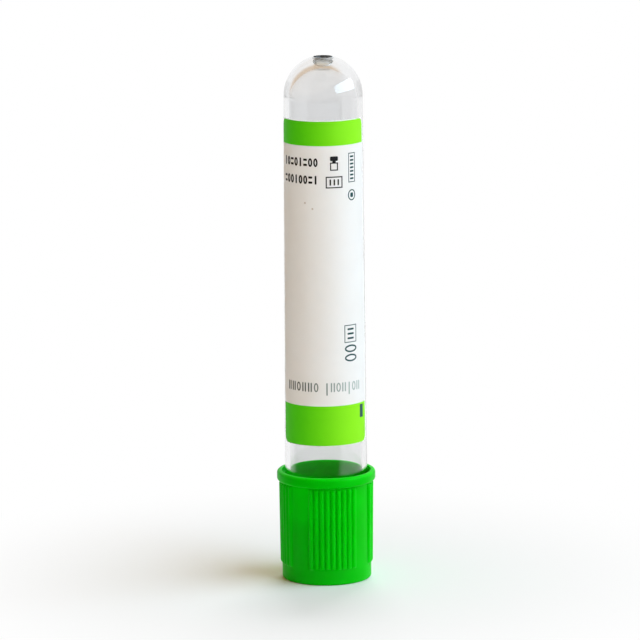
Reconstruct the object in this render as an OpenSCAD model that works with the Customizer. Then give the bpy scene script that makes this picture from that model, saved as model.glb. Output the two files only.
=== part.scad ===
// Evacuated blood collection tube, standing upside down on its ribbed cap.
//
// A clear moulded tube with a round end is closed by a rubber stopper. A ribbed plastic cap holds
// the stopper by its flange, and has a port in its end face through which a needle reaches it.
// A printed label is wrapped round the front half of the tube, and the back half is left clear.
// The tube and its label pull straight up, off the stopper's plug and out of the cap.
//
// Millimetres. +Z runs up the tube's axis, and the origin is the centre of the cap's end face.
// -Y is the front of the label, and +X is to the right of someone who faces it.

/* [Tube] */
// Length of the tube, from its mouth to the flat at its tip
tube_l = 100; // [90:1:130]
// Outer diameter at the mouth
tube_mouth_d = 16.44; // [14:0.02:20]
// How much narrower the tube is at its round end than at its mouth
tube_taper = 0.98; // [0.2:0.02:1.6]
// Thickness of the tube's wall
tube_wall = 0.97; // [0.7:0.01:1.3]
// Step in diameter at the moulding line, where the round end begins
dome_step = 0.06; // [0.02:0.02:0.2]
// Thickness of the tube at its tip
tip_wall = 1.8; // [1.6:0.05:3]
// Diameter of the flat at the tip
tip_flat_d = 4.2; // [4:0.1:7]
// Diameter of the moulding recess in the tip's flat
gate_d = 3.7; // [2:0.1:3.9]
// Depth of the moulding recess
gate_depth = 1.2; // [0.6:0.05:1.4]
// Diameter of the moulding nub in the recess
nub_d = 0.8; // [0.4:0.1:1.6]
// Height of the moulding nub
nub_h = 0.45; // [0.2:0.05:0.5]

/* [Stopper] */
// Thickness of the stopper's flange, which the tube's mouth sits on
flange_t = 2.8; // [2:0.1:4]
// How far the plug reaches into the tube
plug_l = 10.2; // [8.5:0.1:14]
// Length of the plug's tapered nose
nose_l = 1.6; // [0.6:0.1:2.5]
// How much the nose narrows, on the radius
nose_inset = 0.7; // [0.3:0.1:1.2]
// Diameter of the needle well in the stopper's outer face
well_d = 6; // [3:0.1:7]
// Depth of the needle well
well_depth = 4.4; // [2:0.1:5]
// Diameter of the hollow in the plug's inner end
hollow_d = 8.4; // [4:0.1:9]
// Depth of the hollow
hollow_depth = 5; // [2:0.1:5.2]

/* [Cap] */
// Height of the cap
cap_h = 21.7; // [19:0.1:23]
// Thickness of the cap's end wall
web_t = 1.1; // [0.8:0.1:2]
// Thickness of the cap's skirt between the ribs
skirt_wall = 0.48; // [0.4:0.02:1.2]
// How far the rim stands out from the skirt
rim_out = 0.91; // [0.75:0.01:1.6]
// Height of the rim
rim_h = 2.1; // [1.2:0.1:3]
// Rounding of the rim's edges
rim_round = 0.5; // [0.2:0.05:0.55]
// How much the lip opens outwards, on the radius
lip_flare = 0.4; // [0.1:0.05:0.45]
// Height of the opened part of the lip
lip_h = 1.7; // [0.5:0.1:2.5]
// Rounding of the lower outer edge
foot_round = 0.8; // [0.3:0.1:0.9]
// Diameter of the needle port in the end wall
port_d = 8; // [5:0.1:10]

/* [Cap ribs] */
// Number of groups of ribs round the cap
rib_groups = 4; // [2:1:4]
// Number of ribs in each group
ribs_per_group = 9; // [3:1:11]
// Angle from one rib to the next
rib_pitch = 7.2; // [7:0.1:8]
// Angle of the first group's middle rib from the front
rib_turn = 8; // [0:1:45]
// Width of a rib
rib_w = 1.04; // [0.6:0.02:1.06]
// How far a rib stands out from the skirt
rib_out = 0.36; // [0.2:0.02:0.38]
// Height of the plain ring below the ribs
plain_ring_h = 3; // [1.5:0.1:6]

/* [Label] */
// Distance from the tube's mouth to the label's lower edge
label_low = 24.05; // [22:0.05:26]
// Height of the label
label_h = 64.4; // [62:0.1:66]
// Thickness of the label
label_t = 0.1; // [0.06:0.01:0.2]
// Angle from the front to the label's right edge
label_right_angle = 73; // [66:1:85]
// Angle from the front to the label's left edge
label_left_angle = 78; // [70:1:160]
// Height of the coloured band along the lower edge
low_band_h = 8; // [4:0.1:9]
// Height of the coloured band along the upper edge
high_band_h = 4.9; // [2:0.05:5]

/* [Print] */
// Thickness of the printed ink
ink_t = 0.05; // [0.03:0.01:0.08]
// Width of a printed line
line_w = 0.28; // [0.2:0.02:0.4]
// Height of the blocks in the two upper rows
row_h = 1.8; // [1:0.1:2]
// Height of the blocks in the long lower row
long_row_h = 1.9; // [1:0.1:2.2]
// Height of the solid mark on the lower band
edge_mark_h = 2.6; // [1:0.1:3]
// Gap between the solid mark and the band's upper edge
edge_mark_gap = 0.3; // [0.1:0.05:1]

/* [Clearances] */
// Gap on the radius between the tube's mouth and the cap's skirt
skirt_gap = 0.11; // [0.05:0.01:0.3]
// Gap on the radius between the stopper's plug and the tube's bore
plug_gap = 0.05; // [0.02:0.01:0.1]
// Gap on the radius between the stopper's flange and the cap's skirt
flange_gap = 0.03; // [0.01:0.01:0.1]
// Layer of adhesive between the tube and its label
label_glue = 0.03; // [0.02:0.01:0.05]
// Gap under each layer of print, so that its curved solids don't share a face with the label
print_gap = 0.005; // [0.002:0.001:0.01]

/* [Hidden] */

$fn = 128;
// How far a cutting shape runs past the face that it cuts
past = 1;

// Heights up the assembly
mouth_z = web_t + flange_t;
tip_z = mouth_z + tube_l;
dome_r = (tube_mouth_d - tube_taper - dome_step) / 2;
parting_z = tip_z - sqrt(pow(dome_r, 2) - pow(tip_flat_d / 2, 2));

// Radii of the tube
mouth_r = tube_mouth_d / 2;
end_r = mouth_r - tube_taper / 2;
bore_mouth_r = mouth_r - tube_wall;
bore_end_r = end_r - tube_wall;
bore_end_z = tip_z - tip_wall - bore_end_r;

// Outer radius of the tube's wall and radius of its bore at a height
function wall_r(z) = mouth_r - (mouth_r - end_r) * (z - mouth_z) / (parting_z - mouth_z);
function bore_r(z) = bore_mouth_r - (bore_mouth_r - bore_end_r) * (z - mouth_z) / (bore_end_z - mouth_z);

// Radii and heights of the cap
skirt_in_r = mouth_r + skirt_gap;
skirt_r = skirt_in_r + skirt_wall;
rim_r = skirt_r + rim_out;
rim_low_z = cap_h - rim_h;

// Heights and angles of the label
label_low_z = mouth_z + label_low;
label_high_z = label_low_z + label_h;
label_mid_r = wall_r((label_low_z + label_high_z) / 2) + label_glue;
front = -90;

// Angle that a width round the label takes at a height
function round_angle(w, z) = w / (wall_r(z) + label_glue + label_t) * 180 / PI;
label_arc = label_left_angle + label_right_angle;

// The label's right and left edges, as distances to the right of the front
label_right = label_right_angle * PI / 180 * label_mid_r;
label_left = -label_left_angle * PI / 180 * label_mid_r;

// The white field between the bands, as heights above the label's lower edge
field_low = low_band_h;
field_high = label_h - high_band_h;

// Bare margin between a row of blocks and the label's left edge
row_margin = 0.9;

// How many blocks of a row fit between its first block's place and that margin
function blocks_in_row(right, w, pitch) = 1 + floor((right - w / 2 - label_left - row_margin) / pitch);

// The two upper rows of blocks: their spacing, the first block's place, their number and heights
row_pitch = 1.14;
row_block_w = 0.72;
row_right = -1.3;
row_blocks = blocks_in_row(row_right, row_block_w, row_pitch);
row_ups = [field_high - 3.45, field_high - 6.8];

// The long lower row of blocks, with one left out as a space
long_row_pitch = 1.12;
long_row_block_w = 0.78;
long_row_right = 6.9;
long_row_blocks = blocks_in_row(long_row_right, long_row_block_w, long_row_pitch);
long_row_up = field_low + 3.95;
long_row_space = 7;

// The other printed shapes: distance of the middle to the right of the front, height of the middle
// above the label's lower edge, width and height
emblem_box = [2.02, field_high - 4.05, 1.6, 1.6];
emblem_block = [2.02, field_high - 2.5, 1.6, 0.9];
ring_box = [5.93, field_high - 9.9, 1.7, 2.3];
wide_box = [2.05, field_high - 7.15, 3.4, 2.3];
tall_box = [5.98, field_high - 4.5, 1.7, 5.8];
short_box = [5.4, field_low + 14.45, 2.4, 3.6];
pair_marks = [[4.75, field_low + 10.5, 0.9, 2.8], [6.15, field_low + 10.5, 0.9, 2.8]];
edge_mark = [label_right - 1.77, field_low - edge_mark_gap - edge_mark_h / 2, 1.1, edge_mark_h];

// A thin skin that follows the tube's taper: from one angle over an arc, between two heights,
// with its inner face a distance out from the tube's wall.
module wrapped_skin(from_angle, arc, low_z, high_z, out, thick) {
    rotate([0, 0, from_angle])
        rotate_extrude(angle = arc)
            polygon([
                [wall_r(low_z) + out, low_z],
                [wall_r(low_z) + out + thick, low_z],
                [wall_r(high_z) + out + thick, high_z],
                [wall_r(high_z) + out, high_z]
            ]);
}

// A patch of ink on the label, given as [right, up, width, height]. Its widths are turned into angles
// at the height ref_up, so that the lines of one box share them. Layer 1 lies on a coloured band.
module patch(place, ref_up, layer = 0) {
    ref_z = label_low_z + ref_up;
    arc = round_angle(place[2], ref_z);
    low_z = label_low_z + place[1] - place[3] / 2;
    wrapped_skin(front + round_angle(place[0], ref_z) - arc / 2, arc, low_z, low_z + place[3],
        label_glue + label_t + print_gap + layer * (ink_t + print_gap), ink_t);
}

// A frame of ink: a patch with a window in it.
module frame(place) {
    window_w = place[2] - 2 * line_w;
    window_h = place[3] - 2 * line_w;
    arc = round_angle(window_w, label_low_z + place[1]);
    low_z = label_low_z + place[1] - window_h / 2;
    difference() {
        patch(place, place[1]);
        wrapped_skin(front + round_angle(place[0], label_low_z + place[1]) - arc / 2, arc,
            low_z, low_z + window_h, label_glue, label_t + 2 * ink_t);
    }
}

// Short bars in a row, upright or lying, evenly spaced in a frame's window.
module bars(place, count, upright) {
    window_w = place[2] - 2 * line_w;
    window_h = place[3] - 2 * line_w;
    step = (upright ? window_w : window_h) / (count + 1);
    for (i = [1:count]) {
        shift = (i - (count + 1) / 2) * step;
        patch(upright
            ? [place[0] + shift, place[1], line_w, window_h / 2]
            : [place[0], place[1] + shift, window_w / 2, line_w], place[1]);
    }
}

// The clear moulded tube: a slightly tapered wall, a round end and an open mouth at the bottom.
module tube() {
    color("gainsboro", 0.35)
        difference() {
            union() {
                translate([0, 0, mouth_z])
                    cylinder(h = parting_z - mouth_z, r1 = mouth_r, r2 = end_r);
                intersection() {
                    translate([0, 0, parting_z])
                        sphere(r = dome_r);
                    translate([0, 0, parting_z - dome_r])
                        cylinder(h = tip_z - parting_z + dome_r, r = mouth_r);
                }
            }
            translate([0, 0, mouth_z - past])
                cylinder(h = bore_end_z - mouth_z + past, r1 = bore_r(mouth_z - past), r2 = bore_end_r);
            translate([0, 0, bore_end_z])
                sphere(r = bore_end_r);
            difference() {
                translate([0, 0, tip_z - gate_depth])
                    cylinder(h = gate_depth + past, d = gate_d);
                translate([0, 0, tip_z - gate_depth])
                    cylinder(h = nub_h, d = nub_d);
            }
        }
}

// The rubber stopper: a flange under the tube's mouth, a plug in its bore, a needle well from
// below and a hollow from above, with the rubber that the needle pierces between them.
module stopper() {
    nose_z = mouth_z + plug_l;
    shoulder_z = nose_z - nose_l;
    shoulder_r = bore_r(shoulder_z) - plug_gap;
    color("dimgray")
        difference() {
            union() {
                translate([0, 0, web_t])
                    cylinder(h = flange_t, r = skirt_in_r - flange_gap);
                translate([0, 0, mouth_z])
                    cylinder(h = shoulder_z - mouth_z, r1 = bore_mouth_r - plug_gap, r2 = shoulder_r);
                translate([0, 0, shoulder_z])
                    cylinder(h = nose_l, r1 = shoulder_r, r2 = shoulder_r - nose_inset);
            }
            translate([0, 0, web_t - past])
                cylinder(h = well_depth + past, d = well_d);
            translate([0, 0, nose_z - hollow_depth])
                cylinder(h = hollow_depth + past, d = hollow_d);
        }
}

// Outline of the cap's skirt and rim, from the axis outwards.
module cap_outline() {
    square([skirt_r - foot_round, cap_h - rim_round]);
    translate([0, foot_round])
        square([skirt_r, cap_h - rim_round - foot_round]);
    translate([skirt_r - foot_round, foot_round])
        circle(r = foot_round);
    translate([0, rim_low_z])
        square([rim_r - rim_round, rim_h]);
    translate([0, rim_low_z + rim_round])
        square([rim_r, rim_h - 2 * rim_round]);
    for (z = [rim_low_z + rim_round, cap_h - rim_round])
        translate([rim_r - rim_round, z])
            circle(r = rim_round);
}

// One grip rib: a slim round bar let into the skirt.
module rib() {
    translate([skirt_r + rib_out - rib_w / 2, 0, plain_ring_h])
        cylinder(h = rim_low_z + rim_round / 2 - plain_ring_h, d = rib_w, $fn = 32);
}

// The cap: a ribbed skirt with a rolled rim, an end wall and a needle port.
module cap() {
    first_rib = front + rib_turn - rib_pitch * (ribs_per_group - 1) / 2;
    color("green")
        difference() {
            union() {
                rotate_extrude()
                    cap_outline();
                for (group = [0:rib_groups - 1])
                    for (i = [0:ribs_per_group - 1])
                        rotate([0, 0, first_rib + group * 360 / rib_groups + i * rib_pitch])
                            rib();
            }
            translate([0, 0, web_t])
                cylinder(h = cap_h, r = skirt_in_r);
            translate([0, 0, cap_h - lip_h])
                cylinder(h = lip_h, r1 = skirt_in_r, r2 = skirt_in_r + lip_flare);
            translate([0, 0, -past])
                cylinder(h = web_t + 2 * past, d = port_d);
        }
}

// The label: one sheet wrapped round the tube's front, from its right edge leftwards.
module label() {
    color("white")
        wrapped_skin(front - label_left_angle, label_arc, label_low_z, label_high_z,
            label_glue, label_t);
}

// The two coloured bands printed along the label's ends.
module label_bands() {
    color("yellowgreen")
        for (ends = [[label_low_z, label_low_z + low_band_h], [label_high_z - high_band_h, label_high_z]])
            wrapped_skin(front - label_left_angle, label_arc, ends[0], ends[1],
                label_glue + label_t + print_gap, ink_t);
}

// The label's other print, as plain blocks, frames and bars.
module label_marks() {
    color("darkslategray") {
        for (up = row_ups)
            for (i = [0:row_blocks - 1])
                patch([row_right - i * row_pitch, up, row_block_w, row_h], up);
        for (i = [0:long_row_blocks - 1])
            if (i != long_row_space)
                patch([long_row_right - i * long_row_pitch, long_row_up, long_row_block_w, long_row_h],
                    long_row_up);
        for (place = pair_marks)
            patch(place, place[1]);
        patch(emblem_block, emblem_block[1]);
        frame(emblem_box);
        frame(ring_box);
        frame(wide_box);
        bars(wide_box, 3, true);
        frame(tall_box);
        bars(tall_box, 6, false);
        frame(short_box);
        bars(short_box, 3, false);
        patch(edge_mark, edge_mark[1], 1);
    }
}

cap();
stopper();
tube();
label();
label_bands();
label_marks();
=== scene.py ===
# %% [markdown]
# # A blood collection tube, standing on its cap
#
# A clear moulded tube with a round end stands upside down. Its mouth is closed by a rubber stopper,
# which a ribbed green cap holds. A printed label is wrapped round the front half of the tube.
#
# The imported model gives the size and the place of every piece. Here each piece is modelled again with
# the finer shapes and the finish of the real one, and it stands in for the plain solid.

# %% Load the frame
import math

import bmesh
import bpy
from mathutils import Matrix, Vector


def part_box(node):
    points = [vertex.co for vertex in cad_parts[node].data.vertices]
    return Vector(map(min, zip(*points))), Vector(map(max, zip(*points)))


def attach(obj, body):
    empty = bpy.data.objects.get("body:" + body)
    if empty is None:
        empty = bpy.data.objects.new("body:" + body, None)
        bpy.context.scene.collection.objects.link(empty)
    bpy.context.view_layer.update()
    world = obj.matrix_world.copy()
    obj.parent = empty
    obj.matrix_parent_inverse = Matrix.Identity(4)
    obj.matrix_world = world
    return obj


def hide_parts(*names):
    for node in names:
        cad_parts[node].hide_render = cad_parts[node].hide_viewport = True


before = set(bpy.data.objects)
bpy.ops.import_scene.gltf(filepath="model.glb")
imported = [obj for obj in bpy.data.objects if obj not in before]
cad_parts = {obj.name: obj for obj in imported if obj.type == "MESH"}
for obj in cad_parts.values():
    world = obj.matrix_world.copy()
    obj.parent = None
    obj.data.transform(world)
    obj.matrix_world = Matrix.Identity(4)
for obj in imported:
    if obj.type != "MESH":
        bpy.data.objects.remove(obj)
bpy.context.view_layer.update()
print("nodes:", sorted(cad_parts))

# %% [markdown]
# Sizes are written in millimetres, as on a maker's drawing, and each finished mesh is scaled to
# metres once, at its end. Shaders and lamps work on finished pieces, so lengths there are in metres.
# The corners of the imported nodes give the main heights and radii. The sizes that a corner can't give,
# such as a wall's thickness, are named beside the piece they belong to.

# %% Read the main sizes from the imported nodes
MM = 0.001


def node_size(node):
    """Outer radius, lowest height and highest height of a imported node, in millimetres."""
    low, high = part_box(node)
    return high.x / MM, low.z / MM, high.z / MM


rim_radius, cap_bottom, cap_top = node_size("cap")
flange_radius, flange_bottom, plug_top = node_size("stopper")
mouth_radius, mouth_height, tip_height = node_size("tube")
label_bottom, label_top = node_size("label")[1:]
for node in sorted(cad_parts):
    print(node, "radius %.2f, from %.2f to %.2f mm" % node_size(node))

# %% [markdown]
# ## The camera
# A wide lens close by would make the near end of the tube look thicker. A long lens a metre away, a
# little above the tube and tilted down at it, keeps the tube's sides almost parallel. It sees nothing
# but the object and the floor, so no backdrop is needed.

# %% Place the camera
camera_data = bpy.data.cameras.new("camera")
camera_data.sensor_width = 36.0
camera_data.lens = 294.9
camera = bpy.data.objects.new("camera", camera_data)
bpy.context.scene.collection.objects.link(camera)
bpy.context.scene.camera = camera

camera_place = Vector((-0.00097, -1.0125, 0.24553))
camera_tilt = math.radians(10.84)
camera_roll = math.radians(-0.47)
camera.matrix_world = (
    Matrix.Translation(camera_place)
    @ Matrix.Rotation(math.pi / 2 - camera_tilt, 4, "X")
    @ Matrix.Rotation(camera_roll, 4, "Z")
)
print("camera at", tuple(camera_place), "with a lens of", camera_data.lens, "mm")

# %% [markdown]
# ## Shader maths as Python
# A finish is easier to read as an expression than as a list of nodes. One class wraps the output of a
# node. Adding or multiplying wrapped outputs adds Math nodes behind it, and its method `node` makes
# any other kind. A Mix node has sockets for every kind of data, and those for colours have no name of
# their own, so their numbers are named here.

# %% Wrap a node's output
COLOR_A, COLOR_B, MIXED_COLOR = 6, 7, 2


class Output:
    """One output of a shader node. Arithmetic on it adds Math nodes to the same tree."""

    def __init__(self, tree, socket=None):
        self.tree = tree
        self.socket = socket

    def node(self, kind, settings=None, sockets=None, output=0):
        """Make a node of any kind: its settings first, then the values or links of its sockets."""
        made = self.tree.nodes.new(kind)
        for name, value in (settings or {}).items():
            setattr(made, name, value)
        for name, value in (sockets or {}).items():
            if isinstance(value, Output):
                self.tree.links.new(value.socket, made.inputs[name])
            else:
                made.inputs[name].default_value = value
        return Output(self.tree, made.outputs[output] if made.outputs else None)

    def math(self, operation, *values):
        """A Math node that works on these values, in order."""
        return self.node("ShaderNodeMath", {"operation": operation}, dict(enumerate(values)))

    def vector_math(self, operation, *values, output="Value"):
        """A Vector Math node that works on these vectors, in order."""
        settings = {"operation": operation}
        return self.node("ShaderNodeVectorMath", settings, dict(enumerate(values)), output)

    def __add__(self, other):
        return self.math("ADD", self, other)

    def __radd__(self, other):
        return self.math("ADD", other, self)

    def __mul__(self, other):
        return self.math("MULTIPLY", self, other)

    def __rmul__(self, other):
        return self.math("MULTIPLY", other, self)

    def mix(self, first, second):
        """Mix two colours by this value."""
        sockets = {"Factor": self, COLOR_A: first, COLOR_B: second}
        return self.node("ShaderNodeMix", {"data_type": "RGBA"}, sockets, MIXED_COLOR)

    def mix_shaders(self, first, second):
        """Mix two shaders by this value."""
        return self.node("ShaderNodeMixShader", {}, {0: self, 1: first, 2: second})


def start_material(name):
    """A new material with an empty tree, and the wrapper that makes its nodes."""
    material = bpy.data.materials.new(name)
    material.use_nodes = True
    material.node_tree.nodes.clear()
    return material, Output(material.node_tree)


print("the wrapper adds nodes for + and *")

# %% [markdown]
# ## Telling kinds of light apart
# A Light Path node knows how a ray came to a surface. With it, the floor and the world can look one way
# to the camera, to gloss and to glass, and light the object in another way. The side that a ray looks
# towards comes from the dot product of its place or direction with an axis.

# %% Masks for kinds of light and for sides
def light_path(maker, name):
    """One output of a Light Path node."""
    return maker.node("ShaderNodeLightPath", output=name)


def seen_by_eye(maker):
    """1 for rays of the camera, of gloss and of glass, and 0 for the light that falls on things."""
    gloss = light_path(maker, "Is Glossy Ray")
    glass = light_path(maker, "Is Transmission Ray")
    eye = light_path(maker, "Is Camera Ray")
    return maker.math("MAXIMUM", eye, maker.math("MAXIMUM", gloss, glass))


def reflected(maker):
    """1 for light that a surface has reflected on its way, and 0 for all other light."""
    at_least_once = 0.5
    return maker.math("GREATER_THAN", light_path(maker, "Glossy Depth"), at_least_once)


def soft_step(maker, value, start, end):
    """0 before the start and 1 past the end, with a soft S between."""
    sockets = {"Value": value, "From Min": start, "From Max": end}
    return maker.node("ShaderNodeMapRange", {"interpolation_type": "SMOOTHSTEP"}, sockets)


def facing(maker, coordinate, axis, limits):
    """1 on the side that the axis points at and 0 on the other, with a soft S between the limits."""
    vector = maker.node("ShaderNodeTexCoord", output=coordinate)
    along = maker.vector_math("DOT_PRODUCT", vector, axis)
    return soft_step(maker, along, *limits)


print("five masks: light_path, seen_by_eye, reflected, soft_step and facing")

# %% [markdown]
# ## The floor
# The floor is a plain pale sheet, far wider than the object. The camera, the glass and the gloss see
# it fade to plain white a little way from the object, as an evenly lit paper sweep does, and it keeps
# the object's soft shadow. That white isn't added to the light that falls on the object.
#
# A real room is dimmer than the paper behind the object, and clear plastic only looks clear when its
# front reflects something dim. So light that has been reflected sees a dim warm room in front and to
# the left.

# %% Lay the floor
floor_half = 4.0
floor_mesh = bpy.data.meshes.new("floor")
sheet = bmesh.new()
bmesh.ops.create_grid(sheet, x_segments=1, y_segments=1, size=floor_half)
sheet.to_mesh(floor_mesh)
sheet.free()
floor = bpy.data.objects.new("floor", floor_mesh)
bpy.context.scene.collection.objects.link(floor)
print("floor", floor.dimensions[:2], "m")

# %% Floor paper
white = (1.0, 1.0, 1.0, 1.0)
room_dim = (0.08, 0.065, 0.05, 1.0)
paper_shades = (0.79, 0.79, 0.79, 1.0), (0.81, 0.81, 0.81, 1.0)
white_from = 0.013
white_at = 0.088
front_left = (-0.5, -0.87, 0.0)
front_left_limits = (0.02, 0.06)

floor_material, paper = start_material("floor_paper")
place = paper.node("ShaderNodeTexCoord", output="Object")
distance = paper.vector_math("LENGTH", place)
grain = paper.node("ShaderNodeTexNoise", {}, {"Scale": 6.0, "Detail": 3.0})
matt = paper.node("ShaderNodeBsdfDiffuse", {}, {"Color": grain.mix(*paper_shades)})
bright = paper.node("ShaderNodeEmission", {}, {"Color": white, "Strength": 1.0})
faded = soft_step(paper, distance, white_from, white_at).mix_shaders(matt, bright)
dim = paper.node("ShaderNodeEmission", {}, {"Color": room_dim, "Strength": 1.0})
dim_side = reflected(paper) * facing(paper, "Object", front_left, front_left_limits)
to_eye = dim_side.mix_shaders(faded, dim)
paper.node("ShaderNodeOutputMaterial", {}, {"Surface": seen_by_eye(paper).mix_shaders(matt, to_eye)})
floor_mesh.materials.append(floor_material)
print(floor_material.name, len(floor_material.node_tree.nodes), "nodes")

# %% [markdown]
# ## The room and its light
# The world is white where the camera, gloss and glass see it, with a warm ceiling that shows only in
# the round end's thick wall and in gloss. The light that the world sheds is weaker and warm, as the
# light that walls send back. The main light is a wide, high skylight to the right. A low window
# beside it is seen only in gloss, a weak light fills the front, and one lights the back.

# %% The room
wall_light = (1.0, 0.60, 0.19, 1.0)
wall_strength = 0.35
dim_wall = (-0.42, -0.8, 0.42)
dim_wall_limits = (0.1, 0.5)
ceiling = (-0.35, -0.15, 0.92)
ceiling_limits = (0.33, 0.55)
ceiling_warm = (0.74, 0.60, 0.46, 1.0)

world = bpy.data.worlds.new("room")
bpy.context.scene.world = world
world.use_nodes = True
world.node_tree.nodes.clear()
room = Output(world.node_tree)
shed = room.node("ShaderNodeBackground", {}, {"Color": wall_light, "Strength": wall_strength})
dim_side = reflected(room) * facing(room, "Generated", dim_wall, dim_wall_limits)
ceiling_side = facing(room, "Generated", ceiling, ceiling_limits)
seen_color = ceiling_side.mix(dim_side.mix(white, room_dim), ceiling_warm)
seen = room.node("ShaderNodeBackground", {}, {"Color": seen_color, "Strength": 1.0})
room.node("ShaderNodeOutputWorld", {}, {"Surface": seen_by_eye(room).mix_shaders(shed, seen)})
print("the room has", len(world.node_tree.nodes), "nodes")

# %% The lamps
daylight = (0.61, 0.82, 1.0)
warm_white = (1.0, 0.90, 0.78)
cool_white = (0.9, 0.93, 0.95)
lamp_target = Vector((0.0, 0.0, 0.05))


def add_lamp(name, around, up, distance, width, height, power, color):
    """An area light that faces the tube's middle, placed by its angles as seen from there."""
    lamp = bpy.data.lights.new(name, "AREA")
    lamp.shape = "RECTANGLE"
    lamp.size = width
    lamp.size_y = height
    lamp.energy = power
    lamp.color = color
    holder = bpy.data.objects.new(name, lamp)
    bpy.context.scene.collection.objects.link(holder)
    turn = math.radians(around)
    rise = math.radians(up)
    away = Vector((math.sin(turn) * math.cos(rise), -math.cos(turn) * math.cos(rise), math.sin(rise)))
    facing_target = away.to_track_quat("Z", "Y").to_matrix().to_4x4()
    holder.matrix_world = Matrix.Translation(lamp_target + away * distance) @ facing_target
    return holder


window = add_lamp(
    "window", around=74, up=23.5, distance=1.0, width=1.35, height=0.42, power=12.5, color=daylight
)
window.visible_diffuse = False
window.visible_transmission = False
skylight = add_lamp(
    "skylight", around=72, up=48, distance=2.0, width=2.0, height=1.5, power=48.0, color=daylight
)
front_fill = add_lamp(
    "front_fill", around=22, up=12, distance=2.0, width=1.5, height=1.0, power=8.5, color=warm_white
)
backlight = add_lamp(
    "backlight", around=172, up=32, distance=2.0, width=1.2, height=0.6, power=24.0, color=cool_white
)
for lamp in (skylight, front_fill, backlight):
    lamp.visible_glossy = False
    lamp.visible_transmission = False
bpy.context.scene.view_settings.view_transform = "Standard"
print("window at", tuple(round(c, 3) for c in window.location))

# %% [markdown]
# ## Modelling helpers
# Most pieces are round. Stacked cylinders would need joining and bevels at every seam, so instead an
# outline is drawn as points of (radius, height) and spun about the axis. Rounded corners are short arcs
# in that outline.

# %% Draw an outline and spin it
merge_distance = 1e-5
near_end = 0.01


def arc(radius, height, bend, start, end, steps):
    """Points on an arc about (radius, height): angles are in degrees, 0 outwards and 90 upwards."""
    angles = [math.radians(start + (end - start) * i / steps) for i in range(steps + 1)]
    return [(radius + bend * math.cos(a), height + bend * math.sin(a)) for a in angles]


def straight(start, end, parts):
    """Points on a straight wall, with one close to each end, which keeps the wall's shading flat."""
    shares = [near_end] + [i / parts for i in range(1, parts)] + [1 - near_end]
    return [tuple(a + (b - a) * share for a, b in zip(start, end)) for share in shares]


def turned(outline, steps, closed=False):
    """Spin an outline of (radius, height) about the axis into a closed shell."""
    shell = bmesh.new()
    points = [shell.verts.new((radius, 0.0, height)) for radius, height in outline]
    pairs = list(zip(points, points[1:]))
    if closed:
        pairs.append((points[-1], points[0]))
    edges = [shell.edges.new(pair) for pair in pairs]
    bmesh.ops.spin(
        shell,
        geom=points + edges,
        cent=(0.0, 0.0, 0.0),
        axis=(0.0, 0.0, 1.0),
        angle=2 * math.pi,
        steps=steps,
        use_merge=True,
    )
    bmesh.ops.remove_doubles(shell, verts=shell.verts, dist=merge_distance)
    bmesh.ops.recalc_face_normals(shell, faces=shell.faces)
    return shell


print("an arc of 90 degrees:", arc(0.0, 0.0, 1.0, 0, 90, 2))

# %% [markdown]
# A finished piece is scaled to metres and smooth shaded, apart from edges that are sharper than its
# crease angle. It rides on a body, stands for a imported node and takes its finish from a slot.

# %% Finish a piece
def finish_piece(shell, name, material, body, node, crease=35):
    """Turn a shell in millimetres into a finished object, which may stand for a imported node."""
    bmesh.ops.scale(shell, vec=(MM, MM, MM), verts=shell.verts)
    for face in shell.faces:
        face.smooth = True
    for edge in shell.edges:
        edge.smooth = edge.is_manifold and edge.calc_face_angle() < math.radians(crease)
    mesh = bpy.data.meshes.new(name)
    shell.to_mesh(mesh)
    shell.free()
    mesh.materials.append(material)
    piece = bpy.data.objects.new(name, mesh)
    bpy.context.scene.collection.objects.link(piece)
    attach(piece, body)
    if node:
        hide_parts(node)
    mesh.calc_loop_triangles()
    print(name, len(mesh.loop_triangles), "triangles")


print("one millimetre is", MM, "m in a finished piece")

# %% [markdown]
# ## Noise and relief
# Every finish below is a Principled shader whose colour and roughness wander a little. Two helpers make
# what they share: a noise that is fixed to the piece, and a fine relief that bends the light.

# %% Noise and relief
def noise(maker, place, scale, detail):
    """A noise over places in metres: a scale of 1000 gives one blot to a millimetre."""
    return maker.node("ShaderNodeTexNoise", {}, {"Vector": place, "Scale": scale, "Detail": detail})


def relief(maker, height, strength, depth):
    """A normal that follows a height, which is at most this many metres deep."""
    sockets = {"Strength": strength, "Distance": depth, "Height": height}
    return maker.node("ShaderNodeBump", {}, sockets)


print("two helpers: noise and relief")

# %% [markdown]
# ## Finish: clear moulded plastic
# The tube is polished, slightly grey plastic. Real moulded walls are a little wavy, so a very faint
# large noise bends the light. The recess at the tip, where the plastic came in, is frosted, and its
# pale blue tint there is a painted reflection of the sky. Shadow rays pass through the wall, because a
# clear tube lets the light in to its inside and its label's back.

# %% Clear plastic
clear_shades = (0.86, 0.865, 0.87, 1.0), (0.90, 0.905, 0.91, 1.0)
frost_sky_tint = (0.82, 0.93, 0.96, 1.0)
frost_radius = 1.8
frost_edge = 0.2
frost_low = tip_height - 1.4
frost_rise = 0.1

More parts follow.
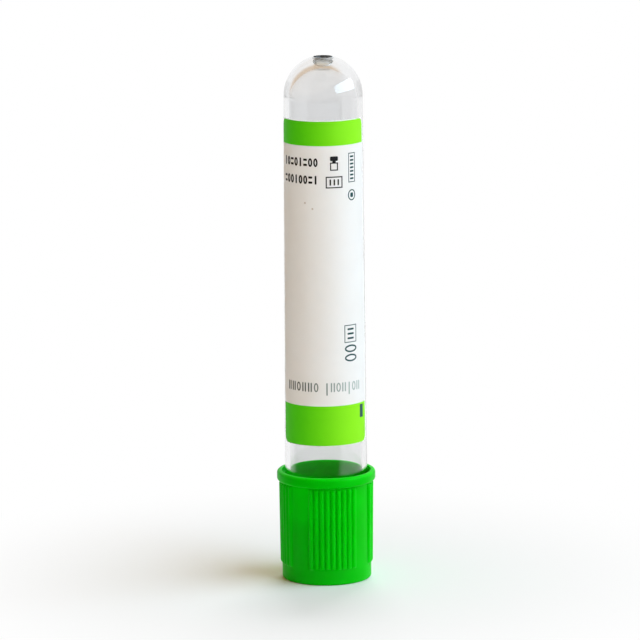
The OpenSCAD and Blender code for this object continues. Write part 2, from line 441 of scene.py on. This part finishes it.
clear_plastic, clear = start_material("clear_moulded_plastic")
place = clear.node("ShaderNodeTexCoord", output="Object")
waves = noise(clear, place, scale=260.0, detail=1.0)
wavy = relief(clear, waves, strength=0.04, depth=0.0003)
haze = noise(clear, place, scale=120.0, detail=3.0)
height = clear.node("ShaderNodeSeparateXYZ", {}, {0: place}, "Z")
to_axis = clear.vector_math("MULTIPLY", place, (1.0, 1.0, 0.0), output="Vector")
from_axis = clear.vector_math("LENGTH", to_axis)
near_axis = soft_step(clear, from_axis, (frost_radius + frost_edge) * MM, frost_radius * MM)
near_tip = soft_step(clear, height, frost_low * MM, (frost_low + frost_rise) * MM)
# In the recess the frost's roughness is real, and the pale blue tint is a painted reflection of the sky
frost_and_sky = near_axis * near_tip
wall = clear.node(
    "ShaderNodeBsdfPrincipled",
    {},
    {
        "Base Color": frost_and_sky.mix(haze.mix(*clear_shades), frost_sky_tint),
        "Roughness": haze * 0.04 + frost_and_sky * 0.55,
        "IOR": 1.575,
        "Specular IOR Level": 0.3,
        "Transmission Weight": 1.0,
        "Normal": wavy,
    },
)
passing = clear.node("ShaderNodeBsdfTransparent", {}, {"Color": (0.97, 0.97, 0.975, 1.0)})
shadow_ray = light_path(clear, "Is Shadow Ray")
clear.node("ShaderNodeOutputMaterial", {}, {"Surface": shadow_ray.mix_shaders(wall, passing)})
print(clear_plastic.name, len(clear_plastic.node_tree.nodes), "nodes")

# %% [markdown]
# ## The tube
# The real tube is injection moulded in one piece: its wall narrows towards the round end so that it
# leaves the mould, and a fine step goes round where the mould's halves met. The plastic came in at the
# tip, which leaves a flat with a shallow recess and a tiny nub. One outline holds all of this, inside
# and outside, so the wall has its true thickness everywhere and bends light as the real one does.

# %% The tube's sizes
taper = 0.49
wall_thickness = 0.97
tip_wall = 1.8
flat_radius = 2.1
flat_margin = 0.06
gate_radius = 1.85
gate_depth = 1.2
gate_round = 0.06
gate_lip_round = 0.08
nub_radius = 0.4
nub_height = 0.3
nub_round = 0.05
parting_step = 0.03
parting_gap = 0.05
mouth_round = 0.25

end_radius = mouth_radius - taper
dome_radius = end_radius - parting_step
parting_height = tip_height - math.sqrt(dome_radius**2 - flat_radius**2)
bore_mouth_radius = mouth_radius - wall_thickness
bore_end_radius = end_radius - wall_thickness
bore_end_height = tip_height - tip_wall - bore_end_radius
flat_angle = math.degrees(math.acos(flat_radius / dome_radius))
gate_floor = tip_height - gate_depth
print("the round end starts at", round(parting_height, 2), "mm")

# %% The tube's outline
wall_parts = 12
wall_low = mouth_height + mouth_round
wall_high = parting_height - parting_gap


def wall_radius(height):
    """Outer radius of the tube's tapered wall at a height."""
    return mouth_radius - taper * (height - mouth_height) / (parting_height - mouth_height)


tube_outline = (
    [(0.0, gate_floor + nub_height)]
    + arc(nub_radius - 2 * nub_round, gate_floor + nub_height - nub_round, nub_round, 90, 0, 3)
    + arc(nub_radius + nub_round, gate_floor + nub_round, nub_round, 180, 270, 3)
    + arc(gate_radius - gate_round, gate_floor + gate_round, gate_round, 270, 360, 4)
    + arc(gate_radius + gate_lip_round, tip_height - gate_lip_round, gate_lip_round, 180, 90, 3)
    + [(flat_radius - flat_margin, tip_height)]
    + arc(0.0, parting_height, dome_radius, flat_angle, 0, 40)
    + [(end_radius, wall_high)]
    + straight((end_radius, wall_high), (mouth_radius, wall_low), wall_parts)
    + arc(mouth_radius - mouth_round, wall_low, mouth_round, 0, -90, 5)
    + arc(bore_mouth_radius + mouth_round, wall_low, mouth_round, -90, -180, 5)
    + straight((bore_mouth_radius, wall_low), (bore_end_radius, bore_end_height), wall_parts)
    + arc(0.0, bore_end_height, bore_end_radius, 0, 90, 48)
)
print(len(tube_outline), "points in the tube's outline")

# %% Spin the tube
tube_steps = 192
tube_shell = turned(tube_outline, tube_steps)
finish_piece(tube_shell, "tube_body", clear_plastic, "tube", "tube", crease=30)

# %% [markdown]
# ## Finish: green cap plastic
# The cap is satin polyethylene in a strong green. Light goes a little way into it, and most of all
# green light, which deepens the colour. It is nearly even, with slow clouding from the moulding, and
# its surface has a fine grain.

# %% Green plastic
green_shades = (0.0, 0.50, 0.0, 1.0), (0.0, 0.56, 0.004, 1.0)

cap_green, green = start_material("green_cap_plastic")
place = green.node("ShaderNodeTexCoord", output="Object")
clouds = noise(green, place, scale=140.0, detail=2.0)
grain = noise(green, place, scale=5200.0, detail=2.0)
grained = relief(green, grain, strength=0.12, depth=0.00005)
satin = green.node(
    "ShaderNodeBsdfPrincipled",
    {},
    {
        "Base Color": clouds.mix(*green_shades),
        "Roughness": 0.36 + clouds * 0.12,
        "Specular IOR Level": 0.08,
        "Subsurface Weight": 1.0,
        "Subsurface Radius": (0.1, 1.0, 0.1),
        "Subsurface Scale": 0.0016,
        "Normal": grained,
    },
)
green.node("ShaderNodeOutputMaterial", {}, {"Surface": satin})
print(cap_green.name, len(cap_green.node_tree.nodes), "nodes")

# %% [markdown]
# ## The cap
# The cap is one moulded piece: an end wall with a port for the needle, a thin skirt, a soft rolled rim
# and a funnel-shaped lip that guides the tube in. Its outline is spun in steps that are fine enough
# for the grip ribs, and then the ribs are raised by moving the skirt's points outwards.

# %% The cap's sizes
web_thickness = 1.1
port_radius = 4.0
port_round = 0.15
bore_radius = 8.33
bore_round = 0.2
bore_middle = 12.0
skirt_radius = 8.81
foot_round = 0.5
plain_ring_height = 3.0
rim_height = 2.1
rim_low_round = 0.5
rim_high_round = 0.55
rim_low_rise = 0.58
under_rim_round = 0.3
under_rim_drop = 0.2
lip_height = 1.7
lip_flare = 0.4
lip_ease = 0.1
lip_ease_out = 0.03
crest_round = 0.12
crest_inset = 0.14
crest_slope = 78
underside_slope = 70

rim_low = cap_top - rim_height
crest_radius = bore_radius + lip_flare + crest_inset
lip_low = cap_top - lip_height
print("the rim starts at", round(rim_low, 2), "mm")

# %% The cap's outline
under_center = rim_low - under_rim_drop
low_center = rim_low + rim_low_rise
# Heights of the skirt's points: close together where the ribs begin and where they end
skirt_heights = (
    [2.0]
    + [plain_ring_height - 0.2 + 0.1 * i for i in range(10)]
    + [4.5 + 2.0 * i for i in range(8)]
    + [rim_low - 0.62 + 0.08 * i for i in range(5)]
)
cap_outline = (
    arc(port_radius + port_round, cap_bottom + port_round, port_round, 180, 270, 3)
    + arc(skirt_radius - foot_round, cap_bottom + foot_round, foot_round, -90, 0, 8)
    + [(skirt_radius, height) for height in skirt_heights]
    + arc(skirt_radius + under_rim_round, under_center, under_rim_round, 180, 180 - underside_slope, 6)
    + arc(rim_radius - rim_low_round, low_center, rim_low_round, -underside_slope, 0, 7)
    + arc(rim_radius - rim_high_round, cap_top - rim_high_round, rim_high_round, 0, crest_slope, 9)
    + arc(crest_radius, cap_top - crest_round, crest_round, crest_slope, 180, 5)
    + [(bore_radius + lip_ease_out, lip_low + lip_ease), (bore_radius, lip_low - lip_ease)]
    + [(bore_radius, bore_middle), (bore_radius, web_thickness + bore_round)]
    + arc(bore_radius - bore_round, web_thickness + bore_round, bore_round, 0, -90, 3)
    + arc(port_radius + port_round, web_thickness - port_round, port_round, 90, 180, 3)
)
cap_steps = 600
cap_shell = turned(cap_outline, cap_steps, closed=True)
print(len(cap_outline), "points in the cap's outline,", len(cap_shell.faces), "faces")

# %% [markdown]
# The ribs stand in four groups of nine. Each is a slim half-round bar, so its height over the skirt
# follows an ellipse. It starts softly above the plain ring and fades out under the rim. The ribs stand
# out a little less near the bottom, which is the draft that lets the cap leave its mould.

# %% The shape of a rib
rib_groups = 4
ribs_per_group = 9
rib_pitch = 7.2
rib_turn = 8.5
rib_half = 0.5
rib_out = 0.52
rib_draft = 0.33
rib_fade = 0.5
rib_top = rim_low - 0.05
ribs_aside = (ribs_per_group - 1) // 2
group_angle = 360 / rib_groups
middle_rib = -90 + rib_turn


def smooth_step(value):
    """0 below 0 and 1 above 1, with a soft S between."""
    value = min(max(value, 0.0), 1.0)
    return value * value * (3 - 2 * value)


def rib_rise(angle, height):
    """How far the skirt stands out at an angle, in degrees, and a height."""
    from_middle = math.remainder(angle - middle_rib, group_angle)
    rib = max(-ribs_aside, min(ribs_aside, round(from_middle / rib_pitch)))
    aside = math.radians(from_middle - rib * rib_pitch) * skirt_radius
    if abs(aside) >= rib_half:
        return 0.0
    rise = rib_out * math.sqrt(1 - (aside / rib_half) ** 2)
    low_end = smooth_step((height - plain_ring_height) / rib_fade)
    high_end = smooth_step((rib_top - height) / rib_fade)
    draft = 1 - rib_draft * (rib_top - height) / (rib_top - plain_ring_height)
    return rise * low_end * high_end * draft


print("at half height a rib stands out", round(rib_rise(middle_rib, cap_top / 2), 2), "mm")

# %% [markdown]
# A small notch from the mould goes in under the rim, over the front's middle rib. The skirt is too thin
# to cut into, so inside the notch the rib and the rim's underside are drawn back to the plain skirt.

# %% The shape of the notch
notch_half = 0.95
notch_height = rim_low + 0.05
notch_reach = 0.32
notch_soft_side = 0.25
notch_soft_end = 0.1


def notch_share(angle, height):
    """1 inside the moulding notch over the front's middle rib and 0 outside it, with soft edges."""
    aside = abs(math.radians(math.remainder(angle - middle_rib, 360))) * skirt_radius
    across = smooth_step((notch_half - aside) / notch_soft_side)
    upright = smooth_step((notch_reach - abs(height - notch_height)) / notch_soft_end)
    return across * upright


print("the notch is", 2 * notch_half, "mm wide")

# %% Raise the ribs and draw in the notch
outside_from = skirt_radius - 0.01
shaped_high = notch_height + notch_reach
to_middle_rib = Matrix.Rotation(math.radians(middle_rib), 3, "Z")
bmesh.ops.rotate(cap_shell, cent=(0, 0, 0), matrix=to_middle_rib, verts=cap_shell.verts)
for point in cap_shell.verts:
    out = Vector((point.co.x, point.co.y, 0.0))
    if out.length > outside_from and plain_ring_height < point.co.z < shaped_high:
        angle = math.degrees(math.atan2(out.y, out.x))
        radius = out.length + rib_rise(angle, point.co.z)
        radius += (skirt_radius - radius) * notch_share(angle, point.co.z)
        point.co += out.normalized() * (radius - out.length)
finish_piece(cap_shell, "cap_body", cap_green, "closure", "cap", crease=50)

# %% [markdown]
# ## The stopper
# A grey rubber stopper sits on the cap's end wall. Its flange closes the tube's mouth, its plug grips
# the bore, and the needle pierces the rubber between the well below and the hollow above. It is a
# turned shape with soft moulded edges, so it is spun as the tube is, and its rubber is matt with a fine
# mottle.

# %% Grey rubber
rubber_shades = (0.10, 0.10, 0.105, 1.0), (0.19, 0.19, 0.20, 1.0)

rubber_material, rubber = start_material("grey_stopper_rubber")
place = rubber.node("ShaderNodeTexCoord", output="Object")
mottle = noise(rubber, place, scale=900.0, detail=4.0)
pores = noise(rubber, place, scale=4500.0, detail=2.0)
porous = relief(rubber, pores, strength=0.3, depth=0.00006)
matt_rubber = rubber.node(
    "ShaderNodeBsdfPrincipled",
    {},
    {
        "Base Color": mottle.mix(*rubber_shades),
        "Roughness": 0.62 + mottle * 0.2,
        "Specular IOR Level": 0.35,
        "Normal": porous,
    },
)
rubber.node("ShaderNodeOutputMaterial", {}, {"Surface": matt_rubber})
print(rubber_material.name, len(rubber_material.node_tree.nodes), "nodes")

# %% The stopper's sizes
plug_gap = 0.05
plug_taper = 0.05
root_out = 0.05
root_up = 0.1
nose_length = 1.6
nose_inset = 0.7
nose_round = 0.3
nose_slope = 20
flange_round = 0.2
well_radius = 3.0
well_depth = 4.4
well_round = 0.4
well_edge_round = 0.15
hollow_radius = 4.2
hollow_depth = 5.0
hollow_round = 0.6
hollow_lip_round = 0.2

shoulder_height = plug_top - nose_length
shoulder_radius = bore_mouth_radius - plug_gap - plug_taper
nose_radius = shoulder_radius - nose_inset
well_floor = flange_bottom + well_depth
hollow_floor = plug_top - hollow_depth
print("rubber between well and hollow:", round(hollow_floor - well_floor, 2), "mm")

# %% Spin the stopper
stopper_outline = (
    [(0.0, well_floor)]
    + arc(well_radius - well_round, well_floor - well_round, well_round, 90, 0, 5)
    + arc(well_radius + well_edge_round, flange_bottom + well_edge_round, well_edge_round, 180, 270, 3)
    + arc(flange_radius - flange_round, flange_bottom + flange_round, flange_round, -90, 0, 4)
    + arc(flange_radius - flange_round, mouth_height - flange_round, flange_round, 0, 90, 4)
    + [(bore_mouth_radius + root_out, mouth_height)]
    + [(bore_mouth_radius - plug_gap, mouth_height + root_up)]
    + [(shoulder_radius, shoulder_height)]
    + arc(nose_radius - nose_round, plug_top - nose_round, nose_round, nose_slope, 90, 5)
    + arc(hollow_radius + hollow_lip_round, plug_top - hollow_lip_round, hollow_lip_round, 90, 180, 4)
    + arc(hollow_radius - hollow_round, hollow_floor + hollow_round, hollow_round, 0, -90, 6)
    + [(0.0, hollow_floor)]
)
stopper_steps = 144
stopper_shell = turned(stopper_outline, stopper_steps)
finish_piece(stopper_shell, "stopper_body", rubber_material, "closure", "stopper")

# %% [markdown]
# ## Wrapping flat print round the tube
# The label and its print are made flat, as they come off the press: x runs to the right of the label's
# front, y runs up from its lower edge, and z is the height above the tube's wall. Everything is cut
# into narrow upright strips, and then each point is laid on the tube at its own height. The tube
# tapers, so the same width takes a slightly larger angle near the round end. A Simple Deform or
# Shrinkwrap modifier could bend the sheet too, but would stretch it or lose its exact place.

# %% Cut into strips
strip = 0.2
to_right = (1, 0, 0)
to_top = (0, 1, 0)


def whole(flat):
    """Every point, edge and face of a flat shape."""
    return flat.verts[:] + flat.edges[:] + flat.faces[:]


def cut_into_strips(flat, width, height=None):
    """Cut a flat shape into strips, so that it can bend round the tube."""
    edge_low = min(point.co.x for point in flat.verts)
    edge_high = max(point.co.x for point in flat.verts)
    for i in range(math.ceil(edge_low / width), math.floor(edge_high / width) + 1):
        bmesh.ops.bisect_plane(flat, geom=whole(flat), plane_co=(i * width, 0, 0), plane_no=to_right)
    if height:
        top = max(point.co.y for point in flat.verts)
        for i in range(1, math.ceil(top / height)):
            bmesh.ops.bisect_plane(flat, geom=whole(flat), plane_co=(0, i * height, 0), plane_no=to_top)


print("strips of", strip, "mm are", round(math.degrees(strip / mouth_radius), 2), "degrees each")

# %% Thicken and wrap
glue = 0.03
film = 0.10
ink = 0.02


def wrap(flat):
    """Lay a flat shape on the tube's wall."""
    for point in flat.verts:
        aside, up, out = point.co
        height = label_bottom + up
        skin = wall_radius(height) + glue + film
        angle = aside / skin
        radius = wall_radius(height) + out
        point.co = (radius * math.sin(angle), -radius * math.cos(angle), height)


def thicken(flat, low, high):
    """Give a flat shape its thickness, from one height above the tube's wall to another."""
    bmesh.ops.remove_doubles(flat, verts=flat.verts, dist=merge_distance)
    bmesh.ops.recalc_face_normals(flat, faces=flat.faces)
    base = flat.faces[:]
    grown = bmesh.ops.extrude_face_region(flat, geom=base, use_keep_orig=True)["geom"]
    for point in flat.verts:
        point.co.z = low
    for part in grown:
        if isinstance(part, bmesh.types.BMVert):
            part.co.z = high
    bmesh.ops.recalc_face_normals(flat, faces=flat.faces)


print("the film's outer face is", round(glue + film, 2), "mm above the wall")

# %% [markdown]
# ## Finish: label film and inks
# The label is satin white film with the faintest fibre in it, and two tiny specks of dirt lie on it.
# The two bands are a green ink, and across them painted shade and light turn the green deeper on the
# shaded left and lighter and yellower on the lit right. The small print has a black ink, a dark
# blue-green one, and a grey one that fades to the right.

# %% Film and ink finish
dirt = (0.56, 0.49, 0.43, 1.0)
speck_edge = 0.00028
speck_core = 0.00008
fade_start = -mouth_radius * MM
fade_end = mouth_radius * MM


def printed_finish(name, shades, roughness, mottle_scale, glow=0.0, gloss=0.25, fade=None, specks=()):
    """A satin surface whose colour wanders between two shades, and can fade across to a third."""
    material, maker = start_material(name)
    place = maker.node("ShaderNodeTexCoord", output="Object")
    mottle = noise(maker, place, scale=mottle_scale, detail=3.0)
    color = mottle.mix(*shades)
    if fade:
        across = maker.node("ShaderNodeSeparateXYZ", {}, {0: place}, "X")
        color = soft_step(maker, across, fade_start, fade_end).mix(color, fade)
    for speck in specks:
        apart = maker.vector_math("DISTANCE", place, speck)
        color = soft_step(maker, apart, speck_edge, speck_core).mix(color, dirt)
    fibre = noise(maker, place, scale=3000.0, detail=3.0)
    satin = maker.node(
        "ShaderNodeBsdfPrincipled",
        {},
        {
            "Base Color": color,
            "Roughness": roughness + mottle * 0.1,
            "Specular IOR Level": gloss,
            "Subsurface Weight": glow,
            "Subsurface Radius": (1.0, 1.0, 1.0),
            "Subsurface Scale": 0.0004,
            "Normal": relief(maker, fibre, strength=0.1, depth=0.00003),
        },
    )
    maker.node("ShaderNodeOutputMaterial", {}, {"Surface": satin})
    print(name, len(material.node_tree.nodes), "nodes")
    return material


film_shades = (0.84, 0.84, 0.84, 1.0), (0.87, 0.87, 0.87, 1.0)
dirt_specks = (-0.00372, -0.00705, 0.07619), (-0.00227, -0.00764, 0.07509)
film_white = printed_finish(
    "label_film", film_shades, roughness=0.45, mottle_scale=400.0, glow=0.6, specks=dirt_specks
)

# %% Inks
ink_roughness = 0.45
ink_mottle = 3000.0
band_shades = (0.06, 0.68, 0.0, 1.0), (0.075, 0.74, 0.0, 1.0)
band_lit_yellow = (0.26, 0.80, 0.01, 1.0)
black_shades = (0.004, 0.004, 0.005, 1.0), (0.01, 0.009, 0.011, 1.0)
dark_shades = (0.006, 0.05, 0.055, 1.0), (0.01, 0.075, 0.08, 1.0)
grey_shades = (0.03, 0.04, 0.04, 1.0), (0.06, 0.075, 0.07, 1.0)
grey_pale = (0.42, 0.52, 0.50, 1.0)
# The fade across the bands is painted light: a deeper green on the shaded left, lighter and yellower on
# the lit right
band_green = printed_finish(
    "band_ink", band_shades, roughness=0.42, mottle_scale=900.0, gloss=0.1, fade=band_lit_yellow
)
black_ink = printed_finish("black_mark_ink", black_shades, ink_roughness, ink_mottle)
dark_ink = printed_finish("dark_mark_ink", dark_shades, ink_roughness, ink_mottle)
grey_ink = printed_finish("grey_mark_ink", grey_shades, ink_roughness, ink_mottle, fade=grey_pale)

# %% [markdown]
# ## The label
# It is one sheet with small round corners, stuck on by hand with a very slight slant. It covers the
# front half of the tube, and the back is left clear, so that the level of the blood can be seen. It is
# cut flat, turned a little and wrapped, because a curved sheet made in place couldn't lean.

# %% Make the label's sheet
label_width = 21.18
label_height = label_top - label_bottom
label_right = 10.29
label_slant = 0.36
corner = 1.4
cross_strip = 4.0


def cut_sheet(right, low, high, width, rounding):
    """A flat sheet with rounded corners, from its right edge leftwards."""
    flat = bmesh.new()
    bmesh.ops.create_grid(flat, x_segments=1, y_segments=1, size=0.5)
    bmesh.ops.scale(flat, vec=(width, high - low, 1.0), verts=flat.verts)
    bmesh.ops.translate(flat, vec=(right - width / 2, (low + high) / 2, 0.0), verts=flat.verts)
    bmesh.ops.bevel(
        flat,
        geom=flat.verts[:],
        offset=rounding,
        segments=6,
        profile=0.5,
        affect="VERTICES",
        material=-1,
    )
    return flat


def lean(flat):
    """Turn a flat shape a little about the label's middle, as a sheet stuck on by hand."""
    middle = (label_right - label_width / 2, label_height / 2, 0.0)
    slant = Matrix.Rotation(math.radians(label_slant), 3, "Z")
    bmesh.ops.rotate(flat, cent=middle, matrix=slant, verts=flat.verts)


label_sheet = cut_sheet(label_right, 0.0, label_height, label_width, corner)
lean(label_sheet)
cut_into_strips(label_sheet, strip, cross_strip)
thicken(label_sheet, glue, glue + film)
wrap(label_sheet)
finish_piece(label_sheet, "label_sheet", film_white, "tube", "label")

# %% [markdown]
# The bands are printed up to the sheet's edges. They are cut from the same sheet, so they share its
# round corners, and are kept a hair smaller than the film, which leaves the film's own white edge. On
# the right that edge is wider. Ink starts a hair inside the film, so that no gap shows under it.

# %% Print the two bands
low_band_height = 8.0
high_band_height = 4.9
ink_margin = 0.12
right_margin = 0.5
ink_sink = 0.01
field_low = low_band_height
field_high = label_height - high_band_height


def pour(source, target):
    """Move a shape into another one."""
    carrier = bpy.data.meshes.new("carrier")
    source.to_mesh(carrier)
    source.free()
    target.from_mesh(carrier)
    bpy.data.meshes.remove(carrier)


bands = bmesh.new()
for low, high in ((0.0, field_low), (field_high, label_height)):
    band = cut_sheet(
        label_right - right_margin,
        ink_margin,
        label_height - ink_margin,
        label_width - ink_margin - right_margin,
        corner,
    )
    for cut, side in ((low, -1), (high, 1)):
        bmesh.ops.bisect_plane(
            band,
            geom=whole(band),
            plane_co=(0, cut, 0),
            plane_no=(0, side, 0),
            clear_outer=True,
        )
    lean(band)
    cut_into_strips(band, strip)
    pour(band, bands)
thicken(bands, glue + film - ink_sink, glue + film + ink)
wrap(bands)
finish_piece(bands, "label_band_print", band_green, "tube", "label_bands")

# %% [markdown]
# ## The small print
# Print is shown as plain shapes: upright blocks and rings in rows, frames with bars in them, and one
# solid mark on the lower band. An image could carry them, but would be blurred close up, so every
# shape is a real thin layer of ink. It starts as a flat block or disc, and a ring or a frame is what is
# left when its middle is cut out.

# %% Shapes of ink
def place_shape(flat, points, right, up, width, height):
    """Give a new shape of size 1 its own size and its place."""
    bmesh.ops.scale(flat, vec=(width, height, 1.0), verts=points)
    bmesh.ops.translate(flat, vec=(right, up, 0.0), verts=points)


def cut_middle(flat, points, line):
    """Leave only an even line along a shape's edge."""
    middle = list(points[0].link_faces)
    bmesh.ops.inset_region(flat, faces=middle, thickness=line, use_even_offset=True, use_boundary=True)
    bmesh.ops.delete(flat, geom=middle, context="FACES_ONLY")


def block(flat, right, up, width, height, round_share=0.25):
    """A solid block with softened corners, given by its middle, width and height."""
    points = bmesh.ops.create_grid(flat, x_segments=1, y_segments=1, size=0.5)["verts"]
    place_shape(flat, points, right, up, width, height)
    if round_share:
        bmesh.ops.bevel(
            flat,
            geom=points,
            offset=round_share * min(width, height),
            segments=3,
            profile=0.5,
            affect="VERTICES",
            material=-1,
        )


def hoop(flat, right, up, width, height, line):
    """A ring of ink with an even line."""
    points = bmesh.ops.create_circle(flat, cap_ends=True, segments=24, radius=0.5)["verts"]
    place_shape(flat, points, right, up, width, height)
    cut_middle(flat, points, line)


def box_frame(flat, right, up, width, height, line):
    """A rectangular frame of ink."""
    points = bmesh.ops.create_grid(flat, x_segments=1, y_segments=1, size=0.5)["verts"]
    place_shape(flat, points, right, up, width, height)
    cut_middle(flat, points, line)


print("three shapes of ink: block, hoop and box_frame")

# %% [markdown]
# The print is laid out from the edges of the white field between the bands, so it keeps its distance
# from the bands. Each shape has a place to the right of the label's front and a height, its width and
# its height, all in millimetres.

# %% Two rows of upright shapes
fine_line = 0.15
line = 0.22
bold_line = 0.3
row_shapes = 8
row_pitch = 1.07
row_right = -1.62
row_height = 1.7
black_print = bmesh.new()
for row, up in enumerate((field_high - 3.25, field_high - 6.68)):
    for i in range(row_shapes):
        right = row_right - i * row_pitch
        if (i * 3 + row) % 4 == 1:
            block(black_print, right, up, width=0.34, height=row_height)
        elif (i + row) % 3 == 2:
            block(black_print, right, up - 0.5, width=0.8, height=0.42)
            block(black_print, right, up + 0.5, width=0.8, height=0.42)
        else:
            hoop(black_print, right, up, width=0.86, height=row_height, line=bold_line)
print(len(black_print.faces), "black faces in two rows")

# %% Emblem, frames and rings beside the rows
dark_print = bmesh.new()

# The emblem: a small frame under a block
right, up = 2.02, field_high - 4.05
box_frame(black_print, right, up, width=1.6, height=1.6, line=line)
block(black_print, right, up + 1.55, width=1.6, height=0.9)
block(black_print, right, up + 0.95, width=0.7, height=0.4)

# The wide frame with three upright bars
right, up = 2.05, field_high - 7.15
box_frame(black_print, right, up, width=3.4, height=2.3, line=line)
for i in (-1, 0, 1):
    block(black_print, right + i * 0.8, up, width=0.3, height=1.2)

# The ring with a block in it
right, up = 5.93, field_high - 9.9
hoop(dark_print, right, up, width=1.9, height=2.2, line=line)
block(dark_print, right, up, width=0.7, height=0.9)

# The tall frame with seven bars
right, up = 5.98, field_high - 4.5
box_frame(dark_print, right, up, width=1.7, height=5.8, line=fine_line)
for i in range(-3, 4):
    block(dark_print, right, up + i * 0.72, width=0.9, height=0.34)

# The low frame with three bars, and the two rings under it
right, up = 5.4, field_low + 14.2
box_frame(dark_print, right, up, width=2.9, height=3.5, line=fine_line)
for i in (-1, 0, 1):
    block(dark_print, right, up + i * 0.9, width=1.5, height=0.36)
for up in (field_low + 9.4, field_low + 11.24):
    hoop(dark_print, 5.45, up, width=2.9, height=1.5, line=bold_line)
print(len(black_print.faces), "black and", len(dark_print.faces), "dark faces")

# %% The long grey row above the lower band
row_top = field_low + 4.65
low_shape = 1.8
tall_shape = 2.45
stroke_half = 0.28
grey_print = bmesh.new()
right_group = [7.25 - 1.16 * i for i in range(7)]
left_group = [-1.85 - 1.27 * i for i in range(6)]
for i, right in enumerate(right_group + left_group):
    if i % 3 == 1:
        hoop(grey_print, right, row_top - low_shape / 2, width=0.9, height=low_shape, line=line)
    elif i % 4 == 2:
        block(grey_print, right, row_top - tall_shape / 2, width=0.28, height=tall_shape)
    else:
        for stroke in (right - stroke_half, right + stroke_half):
            block(grey_print, stroke, row_top - low_shape / 2, width=0.26, height=low_shape)
print(len(grey_print.faces), "grey faces")

# %% Print the marks
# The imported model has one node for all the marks, so only one of the three pieces stands for it
mark_strip = 0.4
edge_mark = bmesh.new()
block(edge_mark, 8.36, field_low - 1.6, width=1.05, height=2.6, round_share=0.0)
for flat, lift in ((black_print, 0.0), (dark_print, 0.0), (grey_print, 0.0), (edge_mark, ink)):
    cut_into_strips(flat, mark_strip)
    thicken(flat, glue + film - ink_sink + lift, glue + film + ink + lift)
    wrap(flat)
pour(edge_mark, dark_print)
finish_piece(dark_print, "label_dark_print", dark_ink, "tube", "label_marks")
finish_piece(black_print, "label_black_print", black_ink, "tube", None)
finish_piece(grey_print, "label_grey_print", grey_ink, "tube", None)
